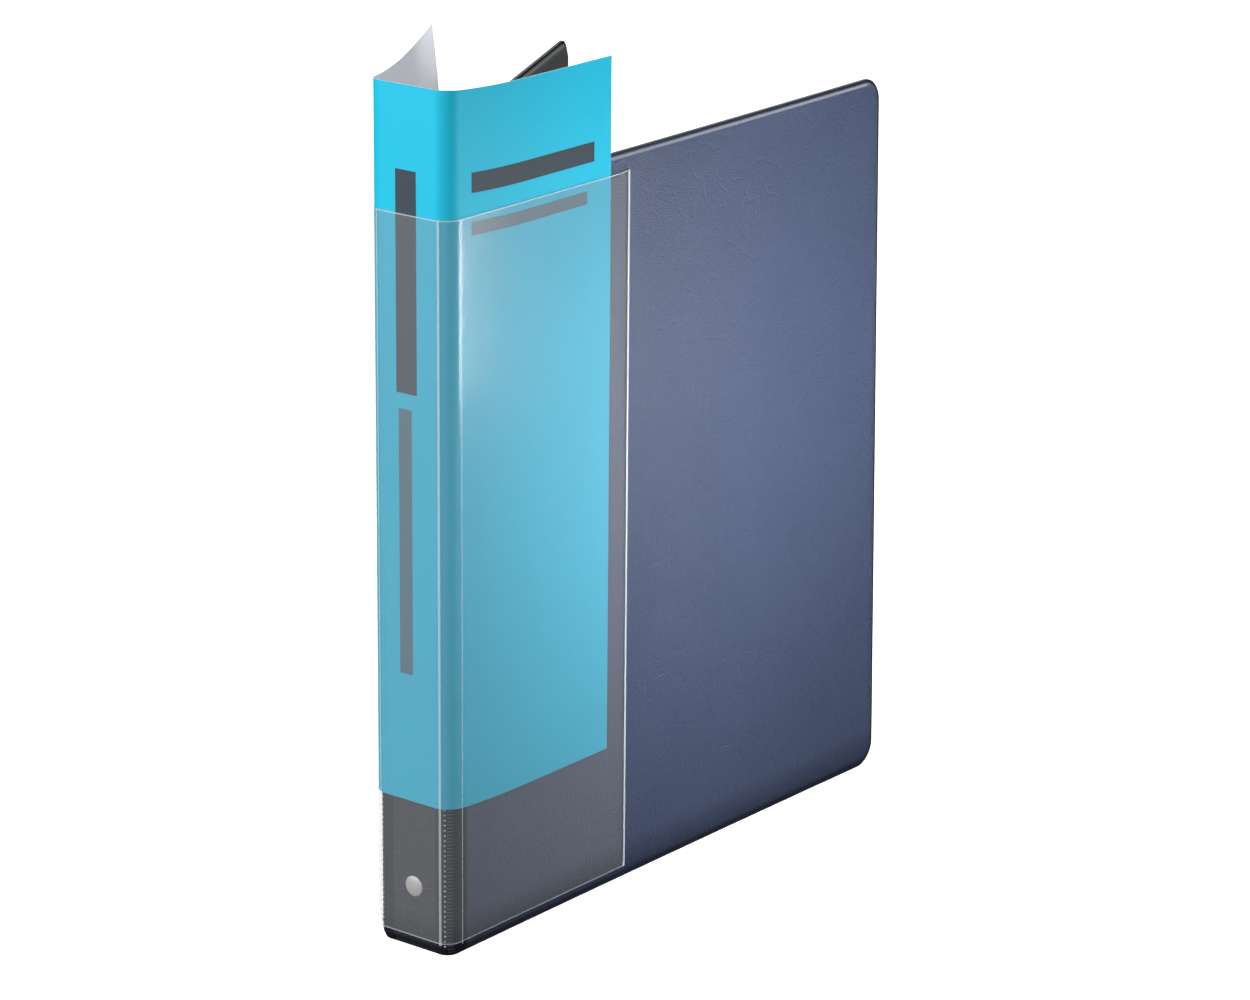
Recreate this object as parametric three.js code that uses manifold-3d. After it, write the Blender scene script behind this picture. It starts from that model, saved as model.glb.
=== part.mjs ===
// A vinyl ring binder with three round rings, standing on its lower edge with its covers ajar.
// Millimetres, +Z up along the spine. x = 0 is the middle of the spine, y = 0 is the middle of the
// spine's outer vinyl where it is welded at the foot, and z = 0 is the foot. The spine faces -Y,
// the front cover is on the +X side and the back cover on the -X side.
import * as THREE from "three";
import { mergeVertices } from "three/addons/utils/BufferGeometryUtils.js";
import Module from "manifold-3d";

const wasm = await Module();
wasm.setup();

// Driving dimensions of the case
const coverHeight = 292.1;
const coverWidth = 266.7;
const spineWidth = 34.1;
const frontSplay = 2.1;
const backSplay = 23.1;
const cornerRadius = 10;
const skinThickness = 0.5;
const boardThickness = 1.8;
const sheetGap = 0.3;
const weldRim = 2.2;
const rimRound = 0.9;
const hingeBeadRadius = 0.9;
const spineHingeMargin = 4.5;
const coverHingeMargin = 9;

// Driving dimensions of the clear overlay and the paper insert in it
const filmThickness = 0.25;
const paperLift = 1.05;
const filmFoot = 5;
const filmTop = 284.8;
const filmReach = 99.2;
const filmWeldWidth = 1.8;
const paperThickness = 0.3;
const insertHeight = 272;
const insertLift = 58;
const insertReach = 88.9;
const bendRadius = 7;

// Driving dimensions of the pockets inside the covers
const pocketHeight = 150;
const pocketStart = 34;
const pocketMargin = 5;
const pocketThickness = 0.4;

// Driving dimensions of the ring mechanism
const ringInnerDiameter = 16;
const ringWire = 2.4;
const ringPitch = 107.95;
const ringCount = 3;
const ringSeamGap = 0.3;
const housingHalfWidth = 8;
const housingHeight = 6.6;
const housingSheet = 0.8;
const housingEndMargin = 14;
const hemWidth = 1.6;
const hemHeight = 1.7;
const bladeThickness = 1;
const bladeTravel = 14;
const bladeEdgeGap = 0.15;
const bladeLip = 0.3;
const ringRootX = 4.9;
const ringRootDepth = 0.7;
const ringHoleGap = 0.25;
const ringSlotGap = 0.6;
const ringSink = 1;
const rivetMargin = 25.2;
const rivetHeadDiameter = 8.2;
const rivetHeadHeight = 0.7;
const rivetShank = 3;
const rivetClearance = 0.4;
const rivetSpread = 1.1;
const rivetSpreadHeight = 0.7;
const rivetSeat = 0.05;
const bladeNotchGap = 0.7;
const leverWidth = 9;
const leverPinDiameter = 1.2;
const leverPinInset = 1;
const leverSheet = 0.85;
const leverToe = 3.2;
const leverBladeGap = 1.6;

// Where the sheets and the hinges lie
const halfPanel = boardThickness / 2 + sheetGap + skinThickness;
const seamHalf = sheetGap / 2;
const midY = seamHalf + skinThickness / 2;
const hingeX = spineWidth / 2 - halfPanel;
const coverReach = coverWidth - halfPanel;
const paperOffset = halfPanel + paperLift + paperThickness / 2;
const filmOffset = paperOffset + paperThickness / 2 + sheetGap + filmThickness / 2;
const insertTop = insertLift + insertHeight;
const big = 4 * coverHeight;

// Colours and finishes
const finishes = {
  vinyl: { color: 0x46526f, roughness: 0.45, metalness: 0 },
  lining: { color: 0x4a4c52, roughness: 0.6, metalness: 0 },
  board: { color: 0x9a8f7c, roughness: 0.9, metalness: 0 },
  film: { color: 0xc8d2dc, roughness: 0.15, metalness: 0, transparent: true, opacity: 0.35 },
  paper: { color: 0x35c5e4, roughness: 0.7, metalness: 0 },
  nickel: { color: 0xc6c8ca, roughness: 0.25, metalness: 1 },
};

function material(finish) {
  return new THREE.MeshStandardMaterial(finishes[finish]);
}

// Solids and the joins and cuts between them
function solidOf(geometry) {
  const bare = geometry.clone();
  bare.deleteAttribute("normal");
  bare.deleteAttribute("uv");
  const merged = mergeVertices(bare, 1e-5);
  const mesh = new wasm.Mesh({
    numProp: 3,
    vertProperties: new Float32Array(merged.attributes.position.array),
    triVerts: new Uint32Array(merged.index.array),
  });
  return new wasm.Manifold(mesh);
}

function geometryOf(solid) {
  const mesh = solid.getMesh();
  const geometry = new THREE.BufferGeometry();
  geometry.setAttribute("position", new THREE.BufferAttribute(new Float32Array(mesh.vertProperties), 3));
  geometry.setIndex(new THREE.BufferAttribute(new Uint32Array(mesh.triVerts), 1));
  geometry.computeVertexNormals();
  return geometry;
}

function mirroredInX(geometry) {
  const copy = geometry.index ? geometry.clone() : mergeVertices(geometry.clone());
  copy.applyMatrix4(new THREE.Matrix4().makeScale(-1, 1, 1));
  const index = Array.from(copy.index.array);
  for (let i = 0; i < index.length; i += 3) {
    [index[i], index[i + 1]] = [index[i + 1], index[i]];
  }
  copy.setIndex(index);
  copy.computeVertexNormals();
  return copy;
}

function named(name, geometry, finish) {
  const mesh = new THREE.Mesh(geometry, material(finish));
  mesh.name = name;
  return mesh;
}

function box(xLow, xHigh, yLow, yHigh, zLow, zHigh) {
  const geometry = new THREE.BoxGeometry(xHigh - xLow, yHigh - yLow, zHigh - zLow);
  geometry.translate((xLow + xHigh) / 2, (yLow + yHigh) / 2, (zLow + zHigh) / 2);
  return solidOf(geometry);
}

function cylinder(radius, length, sides = 24) {
  return new THREE.CylinderGeometry(radius, radius, length, sides);
}

// A panel sheet is drawn in a plane of its own: u runs away from the spine's middle or the hinge,
// z is up, and v is the distance out of the panel's middle plane. A panel has square corners at the
// hinge and round ones at its free edge.
function panelOutline(uLow, uHigh, zLow, zHigh, radius) {
  const shape = new THREE.Shape();
  shape.moveTo(uLow, zLow);
  if (radius > 0) {
    shape.lineTo(uHigh - radius, zLow);
    shape.absarc(uHigh - radius, zLow + radius, radius, -Math.PI / 2, 0);
    shape.lineTo(uHigh, zHigh - radius);
    shape.absarc(uHigh - radius, zHigh - radius, radius, 0, Math.PI / 2);
  } else {
    shape.lineTo(uHigh, zLow);
    shape.lineTo(uHigh, zHigh);
  }
  shape.lineTo(uLow, zHigh);
  shape.closePath();
  return shape;
}

function slab(outline, vLow, vHigh) {
  const geometry = new THREE.ExtrudeGeometry(outline, {
    depth: vHigh - vLow,
    bevelEnabled: false,
    curveSegments: 8,
  });
  geometry.translate(0, 0, vLow);
  return solidOf(geometry);
}

// A slab whose outer edge is rounded over, as vinyl drawn tight over a board
function roundedSlab(outline, vLow, vHigh, round) {
  const geometry = new THREE.ExtrudeGeometry(outline, {
    depth: vHigh - vLow,
    bevelThickness: round,
    bevelSize: round,
    bevelOffset: -round,
    bevelSegments: 3,
    curveSegments: 8,
  });
  geometry.translate(0, 0, vLow);
  return solidOf(geometry);
}

// One of the two vinyl sheets of a panel: a thin weld rim with a hollow bulge in which the board
// lies. It is drawn as the outer sheet, and the lining is the same sheet turned over.
function vinylSheet(rim, bulge) {
  const faceV = halfPanel;
  const rimSlab = slab(panelOutline(...rim), seamHalf, seamHalf + skinThickness);
  const bulgeSlab = roundedSlab(panelOutline(...bulge), 0, faceV - rimRound, rimRound).subtract(
    solidOf(new THREE.BoxGeometry(big, big, big).translate(0, 0, seamHalf - big / 2)),
  );
  const [uLow, uHigh, zLow, zHigh, radius] = bulge;
  const inset = skinThickness;
  const hollow = panelOutline(
    uLow + inset,
    uHigh - inset,
    zLow + inset,
    zHigh - inset,
    Math.max(radius - inset, 0),
  );
  return rimSlab.add(bulgeSlab).subtract(slab(hollow, -1, boardThickness / 2 + sheetGap));
}

function boardSheet(bulge) {
  const [uLow, uHigh, zLow, zHigh, radius] = bulge;
  const inset = skinThickness + sheetGap;
  const outline = panelOutline(
    uLow + inset,
    uHigh - inset,
    zLow + inset,
    zHigh - inset,
    Math.max(radius - inset, 0),
  );
  return slab(outline, -boardThickness / 2, boardThickness / 2);
}

// Turns a panel's own plane into a cover (u along +Y, v along +X) or the spine (u along X, v along -Y)
const coverPlane = new THREE.Matrix4().makeBasis(
  new THREE.Vector3(0, 1, 0),
  new THREE.Vector3(0, 0, 1),
  new THREE.Vector3(1, 0, 0),
);
const spinePlane = new THREE.Matrix4().makeBasis(
  new THREE.Vector3(1, 0, 0),
  new THREE.Vector3(0, 0, 1),
  new THREE.Vector3(0, -1, 0),
);
const turnedOver = new THREE.Matrix4().makeRotationX(Math.PI).setPosition(0, coverHeight, 0);

function inPlane(solid, plane) {
  return geometryOf(solid).applyMatrix4(plane);
}

function liningOf(solid) {
  return solidOf(geometryOf(solid).applyMatrix4(turnedOver));
}

// The three panels of the case
const coverRim = [hingeBeadRadius + sheetGap, coverReach, 0, coverHeight, cornerRadius];
const coverBulge = [
  coverHingeMargin,
  coverReach - weldRim,
  weldRim,
  coverHeight - weldRim,
  cornerRadius - weldRim,
];
const spineRim = [-hingeX, hingeX, 0, coverHeight, 0];
const spineBulge = [-hingeX + spineHingeMargin, hingeX - spineHingeMargin, weldRim, coverHeight - weldRim, 0];
const rivetHeights = [rivetMargin, coverHeight - rivetMargin];

// The holes for the rivets run through the spine along Y
function rivetHoles(radius) {
  return rivetHeights.map((z) => {
    return solidOf(cylinder(radius, 12 * halfPanel, 16).translate(0, midY, z));
  });
}

function withoutAll(solid, cuts) {
  return cuts.reduce((rest, cut) => rest.subtract(cut), solid);
}

function spinePanel() {
  const holes = rivetHoles(rivetShank / 2 + rivetClearance);
  const bead = (side) => {
    const geometry = cylinder(hingeBeadRadius, coverHeight, 12).rotateX(Math.PI / 2);
    return solidOf(geometry.translate(side * hingeX, midY, coverHeight / 2));
  };
  const sheet = solidOf(inPlane(vinylSheet(spineRim, spineBulge), spinePlane).translate(0, midY, 0));
  const liningReach = hingeX - hingeBeadRadius - sheetGap;
  const liningRim = [-liningReach, liningReach, 0, coverHeight, 0];
  const lining = solidOf(
    inPlane(liningOf(vinylSheet(liningRim, spineBulge)), spinePlane).translate(0, midY, 0),
  );
  const board = solidOf(inPlane(boardSheet(spineBulge), spinePlane).translate(0, midY, 0));
  const beaded = sheet.add(bead(-1)).add(bead(1));
  return [
    named("spine_skin", geometryOf(withoutAll(beaded, holes)), "vinyl"),
    named("spine_board", geometryOf(withoutAll(board, holes)), "board"),
    named("spine_lining", geometryOf(withoutAll(lining, holes)), "lining"),
  ];
}

// A flat sheet lying outside a cover's outer face, or inside its inner face where v is below 0
function coverSheet(uLow, uHigh, zLow, zHigh, v, thickness, radius = 0) {
  return slab(panelOutline(uLow, uHigh, zLow, zHigh, radius), v - thickness / 2, v + thickness / 2);
}

// The overlay film on a cover: a sheet lifted by the paper, whose edge is welded down to the vinyl
function filmOnCover(splay) {
  const start = bendEnd(filmOffset, filmBendRadius, splay);
  const sheet = coverSheet(start, filmReach, filmFoot, filmTop, filmOffset, filmThickness);
  const footLow = halfPanel + sheetGap / 2;
  const edge = slab(
    panelOutline(filmReach - filmWeldWidth, filmReach, filmFoot, filmTop, 0),
    footLow,
    filmOffset + filmThickness / 2,
  );
  const foot = slab(
    panelOutline(coverHingeMargin + rimRound, filmReach, filmFoot, filmFoot + filmWeldWidth, 0),
    footLow,
    filmOffset + filmThickness / 2,
  );
  return sheet.add(edge).add(foot);
}

function insertOnCover(splay) {
  const start = bendEnd(paperOffset, bendRadius, splay);
  return coverSheet(start, insertReach, insertLift, insertTop, paperOffset, paperThickness);
}

// The pocket inside a cover is a sheet welded down along its foot and both sides
function insidePocket() {
  const sheetV = -(halfPanel + sheetGap + sheetGap + pocketThickness / 2);
  const low = pocketMargin;
  const end = coverReach - pocketMargin;
  const sheet = coverSheet(pocketStart, end, low, low + pocketHeight, sheetV, pocketThickness, 0);
  const weldTop = -(halfPanel + sheetGap / 2);
  const weldLow = sheetV - pocketThickness / 2;
  const strips = [
    [pocketStart, pocketStart + weldRim, low, low + pocketHeight],
    [end - weldRim, end, low, low + pocketHeight],
    [pocketStart, end, low, low + weldRim],
  ];
  return strips.reduce((rest, strip) => rest.add(slab(panelOutline(...strip, 0), weldLow, weldTop)), sheet);
}

function coverPanel(side, splay) {
  const prefix = side > 0 ? "front" : "back";
  const skin = vinylSheet(coverRim, coverBulge);
  const pieces = [
    [`${prefix}_skin`, skin, "vinyl"],
    [`${prefix}_board`, boardSheet(coverBulge), "board"],
    [`${prefix}_lining`, liningOf(skin), "lining"],
    [`${prefix}_pocket`, insidePocket(), "lining"],
    [`${prefix}_film`, filmOnCover(splay), "film"],
    [`${prefix}_insert`, insertOnCover(splay), "paper"],
  ];
  const cover = new THREE.Group();
  for (const [name, solid, finish] of pieces) {
    const geometry = inPlane(solid, coverPlane);
    cover.add(named(name, side > 0 ? geometry : mirroredInX(geometry), finish));
  }
  cover.position.set(side * hingeX, midY, 0);
  cover.rotation.z = THREE.MathUtils.degToRad(-side * splay);
  return cover;
}

// The paper and the film run round both hinge corners in one bend. Their bends share one centre, so
// the film's radius is larger than the paper's by the distance between them. A cover's own sheet
// starts a small gap past the end of the bend.
const filmBendRadius = bendRadius + filmOffset - paperOffset;

function bendTurn(splay) {
  return THREE.MathUtils.degToRad(90 - splay);
}

function bendEnd(offset, radius, splay) {
  return (radius - offset) * Math.tan(bendTurn(splay) / 2) + sheetGap;
}

// One side of the bent strip's middle line, from the spine's middle to past the corner, as points
// with their outward normals. The corner turns by 90 degrees less the cover's splay.
function bentLine(offset, radius, splay, side) {
  const turn = bendTurn(splay);
  const steps = 8;
  const tangent = radius * Math.tan(turn / 2);
  const corner = hingeX + offset * Math.tan(turn / 2);
  const centre = new THREE.Vector2(corner - tangent, midY - offset + radius);
  const line = [{ x: 0, y: midY - offset, nx: 0, ny: -1 }];
  for (let i = 0; i <= steps; i += 1) {
    const a = (turn * i) / steps;
    const nx = Math.sin(a);
    const ny = -Math.cos(a);
    line.push({ x: side * (centre.x + radius * nx), y: centre.y + radius * ny, nx: side * nx, ny });
  }
  return line;
}

function bentStrip(offset, radius, thickness, zLow, zHigh) {
  const front = bentLine(offset, radius, frontSplay, 1);
  const back = bentLine(offset, radius, backSplay, -1).slice(1).reverse();
  const line = [...back, ...front];
  const side = (distance) => {
    return line.map((p) => new THREE.Vector2(p.x + distance * p.nx, p.y + distance * p.ny));
  };
  const outline = [...side(thickness / 2), ...side(-thickness / 2).reverse()];
  const geometry = new THREE.ExtrudeGeometry(new THREE.Shape(outline), {
    depth: zHigh - zLow,
    bevelEnabled: false,
  });
  return geometry.translate(0, 0, zLow);
}

function spineOverlay() {
  const paper = bentStrip(paperOffset, bendRadius, paperThickness, insertLift, insertTop);
  const film = bentStrip(filmOffset, filmBendRadius, filmThickness, filmFoot, filmTop);
  return [named("spine_insert", paper, "paper"), named("spine_film", film, "film")];
}

// The ring mechanism stands on the spine's lining. Two blades lie side by side under an arched
// housing and rock about their outer edges, each with a half of every ring on it.
const liningFace = midY + halfPanel;
const housingFoot = liningFace + sheetGap;
const crown = housingFoot + housingHeight;
const hemTop = housingFoot + hemHeight;
const bladeTilt = bladeTravel / 2;
const bladePivotX = housingHalfWidth - housingSheet - 2 * sheetGap;
const bladePivotY = hemTop + sheetGap + bladeThickness / 2;
const ringRadius = (ringInnerDiameter + ringWire) / 2;
const ringCentreY = crown + ringInnerDiameter / 2 - ringSink;
const housingLow = housingEndMargin;
const housingHigh = coverHeight - housingEndMargin;
const ringHeights = Array.from({ length: ringCount }, (_, i) => {
  return coverHeight / 2 + (i - (ringCount - 1) / 2) * ringPitch;
});

// The arch of the housing's section, from one foot over the crown to the other
function archPoints(halfWidth, top, shoulder) {
  const points = [];
  const steps = 14;
  for (let i = 0; i <= steps; i += 1) {
    const a = (Math.PI * i) / steps;
    points.push(new THREE.Vector2(halfWidth * Math.cos(a), shoulder + (top - shoulder) * Math.sin(a)));
  }
  return points;
}

function ringHousing() {
  const shoulder = hemTop + 0.9;
  const outer = new THREE.Shape([
    new THREE.Vector2(-housingHalfWidth, housingFoot),
    new THREE.Vector2(housingHalfWidth, housingFoot),
    ...archPoints(housingHalfWidth, crown, shoulder),
  ]);
  const innerHalf = housingHalfWidth - housingSheet;
  const inner = new THREE.Shape([
    new THREE.Vector2(-innerHalf, hemTop),
    new THREE.Vector2(innerHalf, hemTop),
    ...archPoints(innerHalf, crown - housingSheet, shoulder),
  ]);
  const length = housingHigh - housingLow;
  const along = (shape, extra) => {
    const geometry = new THREE.ExtrudeGeometry(shape, { depth: length + 2 * extra, bevelEnabled: false });
    return solidOf(geometry.translate(0, 0, housingLow - extra));
  };
  const throat = housingHalfWidth - hemWidth;
  let housing = along(outer, 0).subtract(along(inner, 1));
  housing = housing.subtract(box(-throat, throat, 0, hemTop + 1, 0, coverHeight));
  const slotHalf = ringWire / 2 + ringSlotGap;
  const slotStart = ringRootX - ringWire / 2 - ringSlotGap;
  const slotEnd = innerHalf + sheetGap;
  for (const z of ringHeights) {
    for (const side of [-1, 1]) {
      const low = Math.min(side * slotStart, side * slotEnd);
      const high = Math.max(side * slotStart, side * slotEnd);
      housing = housing.subtract(box(low, high, hemTop + ringSlotGap, crown, z - slotHalf, z + slotHalf));
    }
  }
  return housing;
}

// A blade is drawn flat about its pivot and then tilted down towards the spine's middle
function blade(side) {
  const pinZ = housingHigh - leverPinInset;
  const end = pinZ - leverBladeGap;
  const start = coverHeight - end;
  const width = bladePivotX - bladeEdgeGap;
  const drill = 4 * bladeThickness;
  let flat = box(-width, bladeLip, -bladeThickness / 2, bladeThickness / 2, start, end);
  for (const z of rivetHeights) {
    const notch = cylinder(rivetShank / 2 + bladeNotchGap, drill, 20);
    flat = flat.subtract(solidOf(notch.translate(-bladePivotX, 0, z)));
  }
  for (const z of ringHeights) {
    const hole = cylinder(ringWire / 2 + ringHoleGap, drill, 16);
    hole.rotateZ(THREE.MathUtils.degToRad(-bladeTilt));
    flat = flat.subtract(solidOf(hole.translate(ringRootX - bladePivotX, 0, z)));
  }
  const geometry = geometryOf(flat).rotateZ(THREE.MathUtils.degToRad(bladeTilt));
  geometry.translate(bladePivotX, bladePivotY, 0);
  return side > 0 ? geometry : mirroredInX(geometry);
}

// Half a ring: a straight leg out of the blade, then an arc up to the seam over the middle
class HalfRing extends THREE.Curve {
  constructor(z) {
    super();
    this.z = z;
    this.rootY = bladePivotY - bladeThickness / 2 - ringRootDepth;
    this.start = Math.asin(ringRootX / ringRadius);
    this.legTop = ringCentreY - ringRadius * Math.cos(this.start);
    this.leg = this.legTop - this.rootY;
    this.sweep = Math.PI - this.start - ringSeamGap / 2 / ringRadius;
  }

  getPoint(t, target = new THREE.Vector3()) {
    const total = this.leg + ringRadius * this.sweep;
    const s = t * total;
    if (s < this.leg) {
      return target.set(ringRootX, this.rootY + s, this.z);
    }
    const a = this.start + (s - this.leg) / ringRadius;
    return target.set(ringRadius * Math.sin(a), ringCentreY - ringRadius * Math.cos(a), this.z);
  }
}

function ringHalf(side, z) {
  const section = new THREE.Shape();
  section.absarc(0, 0, ringWire / 2, 0, 2 * Math.PI);
  const geometry = new THREE.ExtrudeGeometry(section, {
    steps: 22,
    curveSegments: 10,
    bevelEnabled: false,
    extrudePath: new HalfRing(z),
  });
  const half = geometryOf(solidOf(geometry));
  return side > 0 ? half : mirroredInX(half);
}

// The trigger at each end is one bent sheet: a toe under the blades, a pin across the housing and a
// thumb tab that leans out past the end. It is drawn about its pin, z outwards and y off the spine.
const leverPinY = hemTop + 2 * sheetGap + leverPinDiameter / 2;

function leverOutline() {
  const toeLow = housingFoot - leverPinY;
  const toeHigh = toeLow + leverSheet;
  const points = [
    [-leverToe, toeLow],
    [0.4, toeLow],
    [1.3, toeLow + 0.6],
    [6.6, 2.1],
    [9.2, 4.4],
    [10.9, 7],
    [11.6, 9.8],
    [10.7, 10],
    [9.8, 7.4],
    [8.3, 5.2],
    [5.9, 3.2],
    [0.7, 0.95],
    [-0.8, 0.75],
    [-0.95, -0.6],
    [-1.1, toeHigh],
    [-leverToe, toeHigh],
  ];
  return new THREE.Shape(points.map(([z, y]) => new THREE.Vector2(z, y)));
}

function lever(end) {
  const sheet = new THREE.ExtrudeGeometry(leverOutline(), { depth: leverWidth, bevelEnabled: false });
  sheet.translate(0, 0, -leverWidth / 2);
  const pinLength = 2 * (housingHalfWidth - housingSheet - sheetGap);
  const pin = cylinder(leverPinDiameter / 2, pinLength, 16).rotateX(Math.PI / 2);
  const solid = solidOf(sheet).add(solidOf(pin));
  const upwards = new THREE.Matrix4().makeBasis(
    new THREE.Vector3(0, 0, 1),
    new THREE.Vector3(0, 1, 0),
    new THREE.Vector3(-1, 0, 0),
  );
  const geometry = geometryOf(solid).applyMatrix4(upwards);
  if (end < 0) {
    geometry.applyMatrix4(new THREE.Matrix4().makeRotationY(Math.PI));
  }
  const pinZ = end > 0 ? housingHigh - leverPinInset : housingLow + leverPinInset;
  return geometry.translate(0, leverPinY, pinZ);
}

// A rivet holds the housing to the spine: a low domed head outside, and its end spread on the crown
function rivet(z) {
  const headRadius = rivetHeadDiameter / 2;
  const shank = rivetShank / 2;
  const outside = midY - halfPanel - rivetSeat;
  const top = crown + rivetSeat;
  const profile = [new THREE.Vector2(0, outside - rivetHeadHeight)];
  const domeSteps = 5;
  for (let i = 1; i <= domeSteps; i += 1) {
    const a = (Math.PI / 2) * (i / domeSteps);
    profile.push(new THREE.Vector2(headRadius * Math.sin(a), outside - rivetHeadHeight * Math.cos(a)));
  }
  profile.push(
    new THREE.Vector2(shank, outside),
    new THREE.Vector2(shank, top),
    new THREE.Vector2(shank + rivetSpread, top),
    new THREE.Vector2(shank + rivetSpread / 2, top + rivetSpreadHeight),
    new THREE.Vector2(0, top + rivetSpreadHeight),
  );
  return new THREE.LatheGeometry(profile, 20).translate(0, 0, z);
}

function ringMechanism() {
  const holes = rivetHoles(rivetShank / 2 + rivetClearance).map((hole) => hole.translate([0, housingHeight, 0]));
  const pieces = [named("ring_housing", geometryOf(withoutAll(ringHousing(), holes)), "nickel")];
  for (const [side, label] of [
    [-1, "left"],
    [1, "right"],
  ]) {
    pieces.push(named(`blade_${label}`, blade(side), "nickel"));
    ringHeights.forEach((z, i) => {
      pieces.push(named(`ring_${label}_${i + 1}`, ringHalf(side, z), "nickel"));
    });
  }
  pieces.push(named("lever_bottom", lever(-1), "nickel"), named("lever_top", lever(1), "nickel"));
  pieces.push(named("rivet_bottom", rivet(rivetHeights[0]), "nickel"));
  pieces.push(named("rivet_top", rivet(rivetHeights[1]), "nickel"));
  return pieces;
}

const binder = new THREE.Group();
binder.add(...spinePanel());
binder.add(...spineOverlay());
binder.add(coverPanel(1, frontSplay));
binder.add(coverPanel(-1, backSplay));
binder.add(...ringMechanism());

export default binder;
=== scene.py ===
"""Looks of a vinyl ring binder standing ajar: grained covers, clear overlay, paper insert, nickel rings."""

import math

import bmesh
import bpy
from mathutils import Matrix, Vector


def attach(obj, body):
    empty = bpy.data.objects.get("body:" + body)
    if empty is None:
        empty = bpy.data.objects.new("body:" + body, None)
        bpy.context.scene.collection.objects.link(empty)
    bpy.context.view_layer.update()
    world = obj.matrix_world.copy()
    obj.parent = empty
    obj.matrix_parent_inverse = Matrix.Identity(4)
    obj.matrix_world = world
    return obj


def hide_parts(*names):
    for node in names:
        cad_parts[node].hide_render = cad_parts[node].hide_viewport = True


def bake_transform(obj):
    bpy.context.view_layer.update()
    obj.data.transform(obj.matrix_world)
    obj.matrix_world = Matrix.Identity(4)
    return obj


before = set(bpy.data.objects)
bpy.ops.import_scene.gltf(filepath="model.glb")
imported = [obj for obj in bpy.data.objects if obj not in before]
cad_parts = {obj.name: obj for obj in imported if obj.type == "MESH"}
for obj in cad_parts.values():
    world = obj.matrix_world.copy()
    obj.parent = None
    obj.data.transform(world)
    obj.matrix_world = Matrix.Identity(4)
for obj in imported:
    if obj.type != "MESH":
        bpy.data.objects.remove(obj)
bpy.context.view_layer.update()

MM = 0.001
SHARP_ANGLE = math.radians(50)

# Sizes of the case, in millimetres, as the frame has them
HEIGHT = 292.1
HALF_PANEL = 1.7
MID_Y = 0.4
HINGE_X = 15.35
COVER_REACH = 265.0
CORNER_RADIUS = 10.0
FRONT_SPLAY = math.radians(2.1)
BACK_SPLAY = math.radians(23.1)
SPINE_BULGE = 10.85
COVER_BULGE = 9.0
RIM_THICKNESS = 0.65
RIM_LOW = 0.15
RIM_WIDTH = 1.2
HALF_BOARD = 0.9
BOARD_ROOM = 1.2
BOARD_INSET = 3.0
POCKET_MARGIN = 5.0
POCKET_START = 34.0
POCKET_HEIGHT = 150.0
POCKET_RIM = 2.2
# The vinyl is glossier above this height, taken to be its sealed head, after a short change
SEALED_FROM = 288.4
SEALED_CHANGE = 0.6
# Painted shade: the vinyl's colour darkens below this height
SHADE_TOP = 16.0
# The front cover's free edge stands out at the foot by the first, and less by the second at the head
TWIST_FOOT = 2.5
TWIST_FALL = 6.0

# Rings, as they stand closed
RING_INSIDE = 16.0
RING_WIRE = 2.4
RING_ROOT = 4.9
RING_FOOT = 3.7
RING_CENTRE = 16.0
RING_SEAM = 0.3
RING_PITCH = 107.95

# Overlay film and paper insert
FILM_FOOT = 5.0
FILM_TOP = 284.8
FILM_REACH = 101.3
FILM_LIFT = 1.55
FILM_THICKNESS = 0.2
INSERT_LOW = 58.0
INSERT_TOP = 330.0
INSERT_REACH = 88.9
INSERT_LIFT = 1.1
PAPER_THICKNESS = 0.2
BEND_RADIUS = 7.0
FILM_BEND_RADIUS = 7.45
WELD_LIFT = 0.25
WELD_DIP_REACH = 9.0
SIDE_WELD_WIDTH = 1.4
FOOT_WELD_WIDTH = 0.55
# Width of the painted highlight along the film's open top edge
MOUTH_HIGHLIGHT_WIDTH = 0.45
LINE_LIFT = 0.08
LINE_THICKNESS = 0.12
BEND_HIGHLIGHT_THICKNESS = 0.1
# The paper rides up at the spine, within this distance of the hinge
RIDE_UP = 1.9
RIDE_REACH = 40.0
# The back flap's free corner leans out and rises, from this far below the case's head upwards
FLAP_LEAN = 3.0
FLAP_LEAN_AT = 80.0
FLAP_RISE = 3.0
FLAP_BEND_BELOW = 6.0
BAR_LIFT = 0.04
BAR_THICKNESS = 0.05

# The hinge strip's vinyl, its dotted seam and its row of short ticks, in degrees round the bend
HINGE_RADIUS = 5.5
HINGE_OFFSET = 1.2
HINGE_THICKNESS = 0.95
SEAM_TURN = 30
SEAM_PITCH = 2.04
SEAM_START = 4.0
SEAM_DOT_RADIUS = 0.42
SINK_HEIGHT = 3.4
# Where a bend starts on the spine and ends on a cover, across and out from the hinge
TICKS_FROM = 41
TICKS_TO = 71
TICK_PITCH = 1.36

# Painted highlights on the film, drawn as pale strips at the ends of its bends: side, from, to, in degrees
# round the bend
BEND_HIGHLIGHTS = ((1, 14.5, 21.5), (1, 85.5, 87.9), (-1, 13.5, 17.5))

# The paper and the film are divided here, by the painted highlight on the spine's far bend, where no eye
# catches it
DIVIDE = 12.2

# The two halves of the paper and of the film: name, side, splay and where each begins on the spine
HALVES = (("front", 1, FRONT_SPLAY, -DIVIDE), ("back", -1, BACK_SPLAY, DIVIDE))


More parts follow.
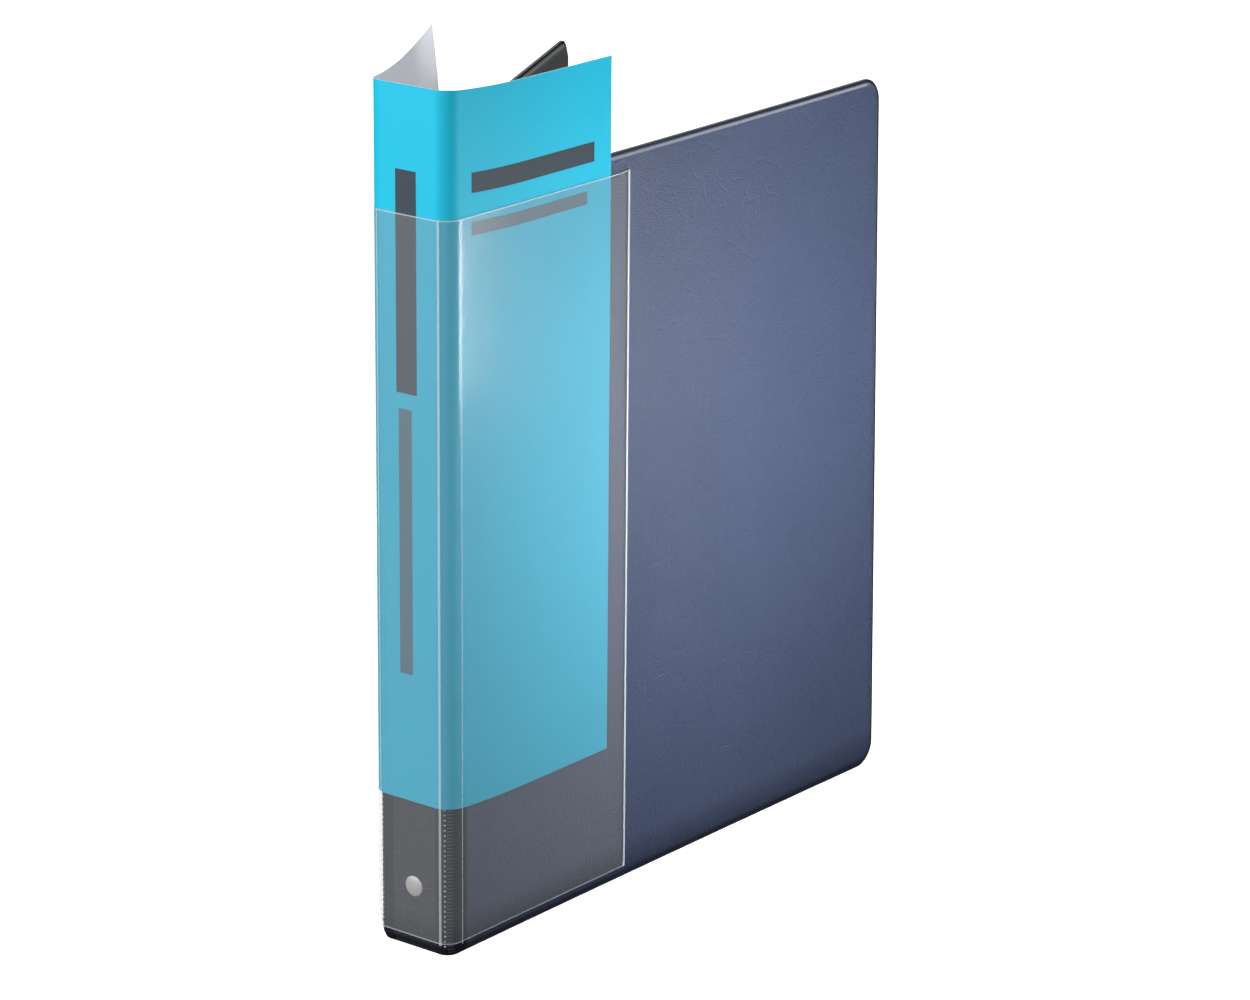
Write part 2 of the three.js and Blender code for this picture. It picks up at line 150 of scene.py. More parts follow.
def make_camera():
    """Stands the camera where the photograph was taken."""
    turn = math.radians(-36.76)
    pitch = math.radians(18.19)
    roll = math.radians(0.60)
    distance = 1637.58
    target = Vector((36.97, 78.7, 164.57))
    forward = Vector(
        (math.sin(turn) * math.cos(pitch), math.cos(turn) * math.cos(pitch), -math.sin(pitch))
    )
    level = Vector((math.cos(turn), -math.sin(turn), 0))
    above = level.cross(forward)
    right = level * math.cos(roll) + above * math.sin(roll)
    up = above * math.cos(roll) - level * math.sin(roll)
    data = bpy.data.cameras.new("camera")
    data.sensor_width = 36
    data.lens = 126.12
    data.clip_end = 20
    camera = bpy.data.objects.new("camera", data)
    place = Matrix((right, up, -forward)).transposed().to_4x4()
    place.translation = (target - forward * distance) * MM
    camera.matrix_world = place
    bpy.context.collection.objects.link(camera)
    bpy.context.scene.camera = camera


def area_light(name, place, aim, size, power):
    data = bpy.data.lights.new(name, "AREA")
    data.shape = "RECTANGLE"
    data.size, data.size_y = size
    data.energy = power
    light = bpy.data.objects.new(name, data)
    light.visible_camera = False
    light.location = place
    light.rotation_mode = "QUATERNION"
    light.rotation_quaternion = (Vector(aim) - Vector(place)).to_track_quat("-Z", "Y")
    bpy.context.collection.objects.link(light)


def make_lights():
    """Soft lights on the cover's side and on the spine's side, one overhead, and a room dim below."""
    area_light("key", (1.45, 0.85, 1.0), (0.03, 0.13, 0.17), (0.9, 0.9), 4.2)
    area_light("spine_fill", (-0.75, -1.35, 0.7), (0.0, 0.0, 0.17), (0.7, 1.2), 37)
    area_light("cover_sheen", (0.24, 0.175, 0.185), (0.03, 0.175, 0.185), (0.1, 0.1), 0.95)
    area_light("overhead", (0.25, 0.15, 1.7), (0.05, 0.12, 0.15), (1.6, 0.5), 14)
    area_light("front_fill", (0.85, -1.1, 0.35), (0.0, 0.05, 0.08), (1.0, 0.6), 8)
    area_light("edge_light", (0.55, 1.45, 1.1), (0.03, 0.13, 0.29), (0.9, 0.5), 6)
    area_light("back_fill", (-0.6, 1.4, 1.3), (0.0, 0.1, 0.15), (1.2, 1.2), 10)
    world = bpy.data.worlds.new("studio")
    world.use_nodes = True
    tree = world.node_tree
    background = tree.nodes["Background"]
    way = tree.nodes.new("ShaderNodeTexCoord")
    up = tree.nodes.new("ShaderNodeSeparateXYZ")
    level = tree.nodes.new("ShaderNodeMapRange")
    level.inputs["From Min"].default_value = -0.1
    level.inputs["From Max"].default_value = 0.15
    level.inputs["To Min"].default_value = 0.24
    level.inputs["To Max"].default_value = 0.8
    tree.links.new(way.outputs["Generated"], up.inputs[0])
    tree.links.new(up.outputs["Z"], level.inputs["Value"])
    tree.links.new(level.outputs[0], background.inputs["Strength"])
    bpy.context.scene.world = world
    bpy.context.scene.view_settings.view_transform = "Standard"


# Materials


class Nodes:
    """A small helper that adds shader nodes and joins them."""

    def __init__(self, name, **values):
        self.material = bpy.data.materials.new(name)
        self.material.use_nodes = True
        self.tree = self.material.node_tree
        self.shader = self.tree.nodes["Principled BSDF"]
        for socket, value in values.items():
            self.shader.inputs[socket.replace("_", " ")].default_value = value

    def add(self, kind, inputs=None, **settings):
        node = self.tree.nodes.new(kind)
        for key, value in settings.items():
            setattr(node, key, value)
        for key, value in (inputs or {}).items():
            if isinstance(value, bpy.types.NodeSocket):
                self.tree.links.new(value, node.inputs[key])
            else:
                node.inputs[key].default_value = value
        return node

    def link(self, output, socket):
        self.tree.links.new(output, self.shader.inputs[socket])

    def place(self):
        return self.add("ShaderNodeTexCoord").outputs["Object"]

    def noise(self, vector, scale, detail=2.0, roughness=0.5, distortion=0.0):
        inputs = {
            "Vector": vector,
            "Scale": scale,
            "Detail": detail,
            "Roughness": roughness,
            "Distortion": distortion,
        }
        return self.add("ShaderNodeTexNoise", inputs).outputs["Fac"]

    def ramp(self, fac, stops):
        node = self.add("ShaderNodeValToRGB", {"Fac": fac})
        elements = node.color_ramp.elements
        while len(elements) < len(stops):
            elements.new(0.5)
        for element, (position, colour) in zip(elements, stops):
            element.position = position
            element.color = (*colour, 1)
        return node.outputs["Color"]

    def math(self, operation, a, b=0.0):
        return self.add("ShaderNodeMath", {0: a, 1: b}, operation=operation).outputs[0]

    def remap(self, value, to_min, to_max, from_min=0.0, from_max=1.0):
        inputs = {
            "Value": value,
            "From Min": from_min,
            "From Max": from_max,
            "To Min": to_min,
            "To Max": to_max,
        }
        return self.add("ShaderNodeMapRange", inputs).outputs[0]

    def bump(self, height, distance, strength):
        inputs = {"Height": height, "Distance": distance, "Strength": strength}
        return self.add("ShaderNodeBump", inputs).outputs["Normal"]


def grained_vinyl(name, colour, dark, roughness, grain=0.00022):
    """Calendered vinyl: a fine pebbled leather grain with long shallow creases wandering through it."""
    m = Nodes(name, Specular_IOR_Level=0.3, Coat_Roughness=0.25)
    place = m.place()
    warp = m.noise(place, 28, 3, 0.6)
    shade = m.ramp(m.noise(place, 9, 4, 0.55), [(0.3, dark), (0.7, colour)])
    parts = m.add("ShaderNodeSeparateXYZ", {"Vector": place})
    height_up = parts.outputs["Z"]
    # Painted shade: the colour darkens towards the foot, to 0.38 of itself at the bottom.
    foot = m.remap(height_up, 0.38, 1.0, from_max=SHADE_TOP * MM)
    colour_with_painted_foot_shade = m.add("ShaderNodeVectorMath", {0: shade, "Scale": foot}, operation="SCALE")
    m.link(colour_with_painted_foot_shade.outputs[0], "Base Color")
    cells = m.add("ShaderNodeTexVoronoi", {"Vector": place, "Scale": 950.0}, feature="DISTANCE_TO_EDGE")
    pebbles = m.math("MINIMUM", m.math("MULTIPLY", cells.outputs["Distance"], 3.0), 1.0)
    fine = m.noise(place, 1900, 2, 0.6)
    creases = m.add(
        "ShaderNodeTexWave",
        {"Vector": place, "Scale": 11.0, "Distortion": 34.0, "Detail": 4.0, "Detail Scale": 1.7},
        bands_direction="DIAGONAL",
    ).outputs["Fac"]
    crease_lines = m.ramp(creases, [(0.0, (0, 0, 0)), (0.06, (1, 1, 1))])
    # The creases fade out under the film, which keeps the vinyl there smooth.
    bare = m.remap(parts.outputs["Y"], 0.1, 0.72, from_min=0.104, from_max=0.122)
    height = m.math("ADD", m.math("MULTIPLY", pebbles, 0.7), m.math("MULTIPLY", fine, 0.5))
    height = m.math("ADD", height, m.math("MULTIPLY", crease_lines, bare))
    height = m.math("ADD", height, m.math("MULTIPLY", warp, 0.6))
    m.link(m.bump(height, grain, 0.8), "Normal")
    m.link(m.remap(m.noise(place, 60, 3), roughness - 0.05, roughness + 0.07), "Roughness")
    # The shoulder along the head is glossier than the rest, taken to be where the sheets are sealed.
    sealed_full = SEALED_FROM + SEALED_CHANGE
    m.link(m.remap(height_up, 0.1, 1.0, SEALED_FROM * MM, sealed_full * MM), "Coat Weight")
    return m.material


def clear_film(name):
    """Clear vinyl film: a little cloudy, glossy, with faint ripples."""
    m = Nodes(
        name,
        Base_Color=(0.33, 0.34, 0.36, 1),
        Alpha=0.13,
        Specular_IOR_Level=0.85,
        IOR=1.52,
    )
    place = m.place()
    ripples = m.noise(place, 42, 3, 0.5, 0.6)
    m.link(m.bump(ripples, 0.0004, 0.2), "Normal")
    m.link(m.remap(m.noise(place, 90, 3), 0.16, 0.26), "Roughness")
    return m.material


def pale_film(name, alpha):
    """Pale, half-clear film for thin strips: painted highlights on the film's bends and its open top edge,
    and pale lines along its welds.
    """
    return Nodes(name, Base_Color=(0.8, 0.84, 0.88, 1), Alpha=alpha, Roughness=0.3).material


def hinge_vinyl(name):
    """Dark vinyl of the hinge strip, with a row of short pale ticks pressed across its front bend."""
    m = Nodes(name, Roughness=0.36)
    place = m.add("ShaderNodeSeparateXYZ", {"Vector": m.place()})
    x_from = bend_point(1, FRONT_SPLAY, HINGE_OFFSET, HINGE_RADIUS, TICKS_FROM)[0] * MM
    x_to = bend_point(1, FRONT_SPLAY, HINGE_OFFSET, HINGE_RADIUS, TICKS_TO)[0] * MM
    past = m.math("GREATER_THAN", place.outputs["X"], x_from)
    short_of = m.math("LESS_THAN", place.outputs["X"], x_to)
    across = m.math("FRACT", m.math("DIVIDE", place.outputs["Z"], TICK_PITCH * MM))
    tick = m.math("LESS_THAN", across, 0.3)
    mark = m.math("MULTIPLY", tick, m.math("MULTIPLY", past, short_of))
    m.link(m.ramp(mark, [(0.0, (0.008, 0.009, 0.014)), (1.0, (0.075, 0.078, 0.088))]), "Base Color")
    m.link(m.bump(mark, 0.0001, 0.5), "Normal")
    return m.material


def printed_paper(name, colour, deep):
    """Smooth coated paper with a faint unevenness of its ink and a fine tooth."""
    m = Nodes(name, Specular_IOR_Level=0.22)
    place = m.place()
    m.link(m.ramp(m.noise(place, 14, 4), [(0.3, deep), (0.7, colour)]), "Base Color")
    m.link(m.bump(m.noise(place, 2600, 2), 0.00003, 0.4), "Normal")
    m.link(m.remap(m.noise(place, 400, 2), 0.5, 0.6), "Roughness")
    return m.material


def plated_steel(name):
    """Bright nickel plate with faint rolling marks."""
    m = Nodes(name, Base_Color=(0.72, 0.72, 0.7, 1), Metallic=1.0)
    place = m.place()
    m.link(m.remap(m.noise(place, 700, 4), 0.25, 0.38), "Roughness")
    m.link(m.bump(m.noise(place, 500, 2), 0.000005, 0.1), "Normal")
    return m.material


def floor_material():
    """Pale matt paint, faintly luminous so that the background stays white."""
    white = (1, 1, 1, 1)
    m = Nodes("floor_paint", Specular_IOR_Level=0.2, Emission_Color=white, Emission_Strength=0.75)
    place = m.place()
    shades = [(0.3, (0.92, 0.92, 0.92)), (0.7, (0.93, 0.93, 0.93))]
    m.link(m.ramp(m.noise(place, 3, 2), shades), "Base Color")
    m.link(m.ramp(m.noise(place, 8, 2), [(0.0, (0.7, 0.7, 0.7)), (1.0, (0.8, 0.8, 0.8))]), "Roughness")
    return m.material


# Where a panel's own plane lies: (u, v, z) to the row frame, in metres


def twist(u, z):
    """How far the front cover stands out of true: its free edge leans in at the top and out at the foot."""
    return (u / COVER_REACH) ** 2 * (TWIST_FOOT - TWIST_FALL * z / HEIGHT)


def cover_place(side, splay):
    """u runs from the hinge to the free edge, and v out of the cover's outer face."""
    along = Vector((side * math.sin(splay), math.cos(splay), 0))
    out = Vector((side * math.cos(splay), -math.sin(splay), 0))
    hinge = Vector((side * HINGE_X, MID_Y, 0))

    def place(u, v, z):
        lean = twist(u, z) if side > 0 else 0.0
        return (hinge + along * u + out * (v + lean) + Vector((0, 0, z))) * MM

    return place


def spine_place(u, v, z):
    return Vector((u, MID_Y - v, z)) * MM


front_place = cover_place(1, FRONT_SPLAY)
back_place = cover_place(-1, BACK_SPLAY)


# Meshes


def new_object(name, mesh_data, materials, smooth=True):
    for edge in mesh_data.edges:
        edge.smooth = edge.calc_face_angle(0.0) < SHARP_ANGLE
    mesh = bpy.data.meshes.new(name)
    mesh_data.to_mesh(mesh)
    mesh_data.free()
    for polygon in mesh.polygons:
        polygon.use_smooth = smooth
    for material in materials:
        mesh.materials.append(material)
    piece = bpy.data.objects.new(name, mesh)
    bpy.context.collection.objects.link(piece)
    return piece


def loop_points(low, high, inset, hinge_radius, free_radius, both_ends=False):
    """A rounded outline in (u, z), inset from the panel's edge. Its corners at the free edge are rounder."""
    (u_low, z_low), (u_high, z_high) = low, high
    near = max(hinge_radius - inset, 0.05)
    far = near if both_ends else max(free_radius - inset, 0.05)
    corners = [
        (u_high - inset - far, z_low + inset + far, far, -90),
        (u_high - inset - far, z_high - inset - far, far, 0),
        (u_low + inset + near, z_high - inset - near, near, 90),
        (u_low + inset + near, z_low + inset + near, near, 180),
    ]
    corner_steps = 12
    side_steps = 24
    points = []
    for i, (cu, cz, radius, start) in enumerate(corners):
        for k in range(corner_steps + 1):
            angle = math.radians(start + 90 * k / corner_steps)
            points.append((cu + radius * math.cos(angle), cz + radius * math.sin(angle)))
        next_u, next_z, next_radius, next_start = corners[(i + 1) % 4]
        angle = math.radians(next_start)
        goal = (next_u + next_radius * math.cos(angle), next_z + next_radius * math.sin(angle))
        here = points[-1]
        for k in range(1, side_steps):
            t = k / side_steps
            points.append((here[0] + (goal[0] - here[0]) * t, here[1] + (goal[1] - here[1]) * t))
    return points


# How far the vinyl stands out of the panel's middle plane, at a distance in from its edge
SHEET_PROFILE = [
    (0.0, RIM_LOW),
    (0.0, 0.42),
    (0.12, 0.58),
    (0.35, RIM_THICKNESS),
    (1.15, RIM_THICKNESS),
    (1.45, 0.7),
    (1.75, 0.86),
    (2.05, 1.12),
    (2.35, 1.38),
    (2.75, 1.56),
    (3.3, 1.66),
    (4.2, HALF_PANEL),
    (6.0, HALF_PANEL),
]

# The same sheet's inner side: flat over the board, then down beside it to the weld
SHEET_INSIDE = [
    (6.0, BOARD_ROOM),
    (3.2, BOARD_ROOM),
    (2.8, HALF_BOARD),
    (2.6, RIM_LOW),
    (1.3, RIM_LOW),
]

# Insets of the loops that carry a cover's flat middle, so that it can follow the cover's twist
MIDDLE_INSETS = [12.0, 24.0, 40.0, 60.0, 80.0, 100.0, 120.0]


def panel_shell(name, place, low, high, profile, radii, materials, both_ends=False):
    """A closed shell round a panel's outline, from (inset, height out of the panel) to the next."""
    bm = bmesh.new()
    rings = []
    for inset, out in profile:
        points = loop_points(low, high, inset, radii[0], radii[1], both_ends)
        rings.append([bm.verts.new(place(u, out, z)) for u, z in points])
    count = len(rings[0])
    on_rim = len(materials) - 1
    for (a, b), (inset, _) in zip(zip(rings, rings[1:]), profile[1:]):
        for i in range(count):
            j = (i + 1) % count
            face = bm.faces.new((a[i], a[j], b[j], b[i]))
            face.material_index = on_rim if inset <= RIM_WIDTH else 0
    bm.faces.new(rings[-1])
    bm.faces.new(list(reversed(rings[0])))
    bmesh.ops.recalc_face_normals(bm, faces=bm.faces[:])
    return new_object(name, bm, materials)


def vinyl_sheet(name, place, low, high, radii, inside, materials, both_ends=False):
    """A panel's sheet: a flat weld rim, then a rounded rise over the board's edge."""
    middle = [] if both_ends else MIDDLE_INSETS
    profile = [(inset, BOARD_ROOM) for inset in reversed(middle)]
    profile += SHEET_INSIDE + SHEET_PROFILE
    profile += [(inset, HALF_PANEL) for inset in middle]
    sign = -1 if inside else 1
    profile = [(inset, sign * out) for inset, out in profile]
    return panel_shell(name, place, low, high, profile, radii, materials, both_ends)


def cover_board(name, place, low, high, materials):
    """The chipboard inside a cover, which follows the cover's twist."""
    insets = [BOARD_INSET, *MIDDLE_INSETS]
    profile = [(inset, -HALF_BOARD) for inset in reversed(insets)]
    profile += [(inset, HALF_BOARD) for inset in insets]
    return panel_shell(name, place, low, high, profile, (1.5, CORNER_RADIUS), materials)


def grid_box(bm, place, u_span, z_span, v_span, steps=12):
    """A flat box in a panel's own plane, in squares, so that it can follow the cover's twist."""
    box = bmesh.new()
    bmesh.ops.create_cube(box, size=1.0)
    long_edges = [e for e in box.edges if abs(e.verts[0].co.z - e.verts[1].co.z) < 0.5]
    bmesh.ops.subdivide_edges(box, edges=long_edges, cuts=steps, use_grid_fill=True)
    for vert in box.verts:
        u, z, v = (
            span[0] + (value + 0.5) * (span[1] - span[0])
            for span, value in zip((u_span, z_span, v_span), vert.co)
        )
        vert.co = place(u, v, z)
    bmesh.ops.recalc_face_normals(box, faces=box.faces[:])
    mesh = bpy.data.meshes.new("box")
    box.to_mesh(mesh)
    box.free()
    bm.from_mesh(mesh)
    bpy.data.meshes.remove(mesh)


def inside_pocket(name, place, material):
    """The pocket inside a cover: a sheet welded down along its foot and both sides."""
    start, end = POCKET_START, COVER_REACH - POCKET_MARGIN
    low, high = POCKET_MARGIN, POCKET_MARGIN + POCKET_HEIGHT
    sheet = (-HALF_PANEL - 1.0, -HALF_PANEL - 0.6)
    weld = (-HALF_PANEL - 0.62, -HALF_PANEL - 0.15)
    bm = bmesh.new()
    grid_box(bm, place, (start, end), (low, high), sheet)
    grid_box(bm, place, (start, start + POCKET_RIM), (low, high), weld)
    grid_box(bm, place, (end - POCKET_RIM, end), (low, high), weld)
    grid_box(bm, place, (start + POCKET_RIM, end - POCKET_RIM), (low, low + POCKET_RIM), weld)
    return new_object(name, bm, [material], smooth=False)


def strip_line(offset, radius, splay, side, reach, begin=0.0, spacing=2.0):
    """A sheet's middle line in plan, across the spine from begin, round the hinge corner and out along a
    cover, as (x, y, normal x, normal y, distance out along the cover). begin is below 0 where it starts on
    the spine's other half."""
    turn = math.pi / 2 - splay
    tangent = radius * math.tan(turn / 2)
    corner = HINGE_X + offset * math.tan(turn / 2)
    centre = Vector((corner - tangent, MID_Y - offset + radius))
    rows = []
    end = corner - tangent
    steps = max(int((end - begin) / spacing), 1)
    for i in range(steps):
        rows.append((begin + (end - begin) * i / steps, MID_Y - offset, 0.0, -1.0))
    arc_steps = 18
    for i in range(arc_steps + 1):
        a = turn * i / arc_steps
        nx, ny = math.sin(a), -math.cos(a)
        rows.append((centre.x + radius * nx, centre.y + radius * ny, nx, ny))
    last = rows[-1]
    along = Vector((math.sin(splay), math.cos(splay)))
    first_u = (Vector(last[:2]) - Vector((HINGE_X, MID_Y))).dot(along)
    count = max(int((reach - first_u) / spacing), 2)
    for i in range(1, count + 1):
        d = (reach - first_u) * i / count
        rows.append((last[0] + along.x * d, last[1] + along.y * d, last[2], last[3]))
    line = []
    for x, y, nx, ny in rows:
        out_along = (Vector((x, y)) - Vector((HINGE_X, MID_Y))).dot(along)
        line.append((side * x, y, side * nx, ny, max(out_along, 0.0)))
    return line


def sheet_from_line(name, line, heights, thickness, materials, warp=None):
    """A closed thin sheet on a plan line and a list of heights. Its outer side has the first material, and
    its inner side and edges the last. warp gives a sideways shift for a distance and a height."""
    bm = bmesh.new()
    outer, inner = [], []
    for z in heights:
        row_out, row_in = [], []
        for x, y, nx, ny, run in line:
            shift_out, shift_z = warp(run, z, x, y, nx, ny) if warp else (Vector((0, 0)), 0.0)
            half = thickness / 2
            place = Vector((x + shift_out.x, y + shift_out.y, z + shift_z))
            normal = Vector((nx, ny, 0)) * half
            row_out.append(bm.verts.new((place + normal) * MM))
            row_in.append(bm.verts.new((place - normal) * MM))
        outer.append(row_out)
        inner.append(row_in)
    back_index = len(materials) - 1

    def quad(a, b, c, d, index):
        face = bm.faces.new((a, b, c, d))
        face.material_index = index

    for i in range(len(heights) - 1):
        for j in range(len(line) - 1):
            quad(outer[i][j], outer[i][j + 1], outer[i + 1][j + 1], outer[i + 1][j], 0)
            quad(inner[i + 1][j], inner[i + 1][j + 1], inner[i][j + 1], inner[i][j], back_index)
    for j in range(len(line) - 1):
        quad(inner[0][j], inner[0][j + 1], outer[0][j + 1], outer[0][j], back_index)
        quad(outer[-1][j], outer[-1][j + 1], inner[-1][j + 1], inner[-1][j], back_index)
    for i in range(len(heights) - 1):
        quad(inner[i][0], outer[i][0], outer[i + 1][0], inner[i + 1][0], back_index)
        quad(outer[i][-1], inner[i][-1], inner[i + 1][-1], outer[i + 1][-1], back_index)
    bmesh.ops.recalc_face_normals(bm, faces=bm.faces[:])
    return new_object(name, bm, materials)


def levels(low, high, spacing):
    count = max(int((high - low) / spacing), 2)
    return [low + (high - low) * i / count for i in range(count + 1)]


def hinge_blend(piece):
    """Bakes the placement into the mesh of a piece that lies from the spine to a cover, across the corner
    where the cover turns.
    """
    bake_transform(piece)


def make_case(vinyl, spine_vinyl, lining, card, rim):
    """The three panels of the case, outside and inside."""
    cover_low = (COVER_BULGE - 3.2, 0)
    cover_high = (COVER_REACH, HEIGHT)
    spine_low = (-SPINE_BULGE - 2.2, 0)
    spine_high = (SPINE_BULGE + 2.2, HEIGHT)
    covers = (("front", front_place, "front_cover"), ("back", back_place, "back_cover"))
    for label, place, body in covers:
        for part, inside, material in (("skin", False, vinyl), ("lining", True, lining)):
            piece = vinyl_sheet(
                f"{label}_{part}_vinyl",
                place,
                cover_low,
                cover_high,
                (1.5, CORNER_RADIUS),
                inside,
                [material, rim],
            )
            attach(piece, body)
            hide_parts(f"{label}_{part}")
    board = cover_board("front_board_inside", front_place, cover_low, cover_high, [card])
    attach(board, "front_cover")
    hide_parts("front_board")
    pocket = inside_pocket("front_pocket_inside", front_place, lining)
    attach(pocket, "front_cover")
    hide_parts("front_pocket")
    for part, inside, material in (("skin", False, spine_vinyl), ("lining", True, lining)):
        piece = vinyl_sheet(
            f"spine_{part}_vinyl",
            spine_place,
            spine_low,
            spine_high,
            (1.5, 1.5),
            inside,
            [material, rim],
            True,
        )
        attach(piece, "spine")
        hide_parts(f"spine_{part}")


def bend_point(side, splay, offset, radius, degrees):
    """A point on a sheet's bend in plan and the way out of it there: (x, y, normal x, normal y)."""
    turn = math.pi / 2 - splay
    centre_x = HINGE_X + (offset - radius) * math.tan(turn / 2)
    centre_y = MID_Y - offset + radius
    a = math.radians(degrees)
    nx, ny = math.sin(a), -math.cos(a)
    return side * (centre_x + radius * nx), centre_y + radius * ny, side * nx, ny


def bend_strip(name, side, splay, offset, radius, turn_span, heights, thickness, material):
    """A narrow sheet that lies on part of a bend."""
    steps = 4
    line = []
    for i in range(steps + 1):
        degrees = turn_span[0] + (turn_span[1] - turn_span[0]) * i / steps
        line.append((*bend_point(side, splay, offset, radius, degrees), 0.0))
    return sheet_from_line(name, line, heights, thickness, [material])


def splay_of(side):
    return FRONT_SPLAY if side > 0 else BACK_SPLAY


def make_hinges(vinyl, mark):
    """The strips between the spine and the covers, two welded sheets thick, each with a dotted seam."""
    for label, side in (("front", 1), ("back", -1)):
        splay = splay_of(side)
        line = strip_line(HINGE_OFFSET, HINGE_RADIUS, splay, side, COVER_BULGE - 1.0, HINGE_X - 5.0, 0.8)
        name = f"{label}_hinge_strip"
        web = sheet_from_line(name, line, end_levels(), HINGE_THICKNESS, [vinyl], flatten_ends)
        hinge_blend(web)
        seam = hinge_seam(f"{label}_hinge_seam", side, splay, mark)
        hinge_blend(seam)


def flatten_ends(run, z, x, y, nx, ny):
    """The hinge strip sinks to the weld at the foot and the head, as the panels beside it do."""
    from_end = min(z, HEIGHT - z)
    sink = HINGE_OFFSET * max(1 - from_end / SINK_HEIGHT, 0) ** 1.5
    return Vector((nx, ny)) * -sink, 0.0


def end_levels():
    """Heights from foot to head, close together where the hinge strip sinks."""
    close = [0.0, 0.3, 0.7, 1.1, 1.6, 2.2, 2.8, SINK_HEIGHT]
    return close + levels(6.0, HEIGHT - 6.0, 6) + [HEIGHT - z for z in reversed(close)]


def hinge_seam(name, side, splay, material):
    """The row of small welded dots along a hinge strip."""
    bm = bmesh.new()
    face = HINGE_OFFSET + HINGE_THICKNESS / 2
    radius = HINGE_RADIUS + HINGE_THICKNESS / 2
    x, y, _, _ = bend_point(side, splay, face, radius, SEAM_TURN)
    count = int((HEIGHT - 2 * SEAM_START) / SEAM_PITCH) + 1
    for i in range(count):
        centre = Matrix.Translation(Vector((x, y, SEAM_START + i * SEAM_PITCH)) * MM)
        bmesh.ops.create_icosphere(bm, subdivisions=1, radius=SEAM_DOT_RADIUS * MM, matrix=centre)
    return new_object(name, bm, [material])


def ride_up(run):
    """How far the paper has ridden up at the spine; it sags towards its free edges."""
    return RIDE_UP * (1 - min(run / RIDE_REACH, 1.0)) ** 2


def settle(run, z, x, y, nx, ny):
    return Vector((nx, ny)) * twist(run, z), ride_up(run)


def make_bars(dark, grey):
    """Plain printed bars on the paper: name, body, from and to across the sheet, low, high, colour."""
    bars = (
        ("head_bar", "front_cover", 10.0, 79.0, 292.0, 299.5, dark),
        ("second_bar", "front_cover", 10.0, 75.0, 276.5, 281.5, grey),
        ("spine_bar", "spine", -6.0, 3.5, 216.0, 299.0, dark),
        ("spine_second_bar", "spine", -5.0, 1.0, 108.0, 210.0, grey),
    )
    offset = HALF_PANEL + INSERT_LIFT + PAPER_THICKNESS / 2 + BAR_LIFT
    for name, body, start, end, low, high, colour in bars:
        line = []
        for i in range(9):
            u = start + (end - start) * i / 8
            if body == "spine":
                line.append((u, MID_Y - offset, 0.0, -1.0, 0.0))
                continue
            place = front_place(u, offset - twist(u, 0), 0) / MM
            line.append((place.x, place.y, math.cos(FRONT_SPLAY), -math.sin(FRONT_SPLAY), u))
        bar = sheet_from_line(name, line, levels(low, high, 6), BAR_THICKNESS, [colour], settle)
        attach(bar, body)


def make_insert(outside, reverse):
    """The paper sheet, folded round both corners. Its free edge on the back leans away from the cover."""
    heights = levels(INSERT_LOW, INSERT_TOP, 6)
    offset = HALF_PANEL + INSERT_LIFT

    def flare(run, z, x, y, nx, ny):
        above = max(z - HEIGHT + FLAP_BEND_BELOW, 0) / (INSERT_TOP - HEIGHT + FLAP_BEND_BELOW)
        lean = FLAP_LEAN * above**1.5 * (run / FLAP_LEAN_AT) ** 2
        rise = FLAP_RISE * (run / INSERT_REACH) ** 2 * above
        return Vector((nx, ny)) * lean, rise + ride_up(run)

    for label, side, splay, begin in HALVES:
        warp = settle if side > 0 else flare
        line = strip_line(offset, BEND_RADIUS, splay, side, INSERT_REACH, begin)
        faces = [outside, reverse]
        piece = sheet_from_line(f"{label}_paper", line, heights, PAPER_THICKNESS, faces, warp)
        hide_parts(f"{label}_insert", *(["spine_insert"] if side > 0 else []))
        hinge_blend(piece)


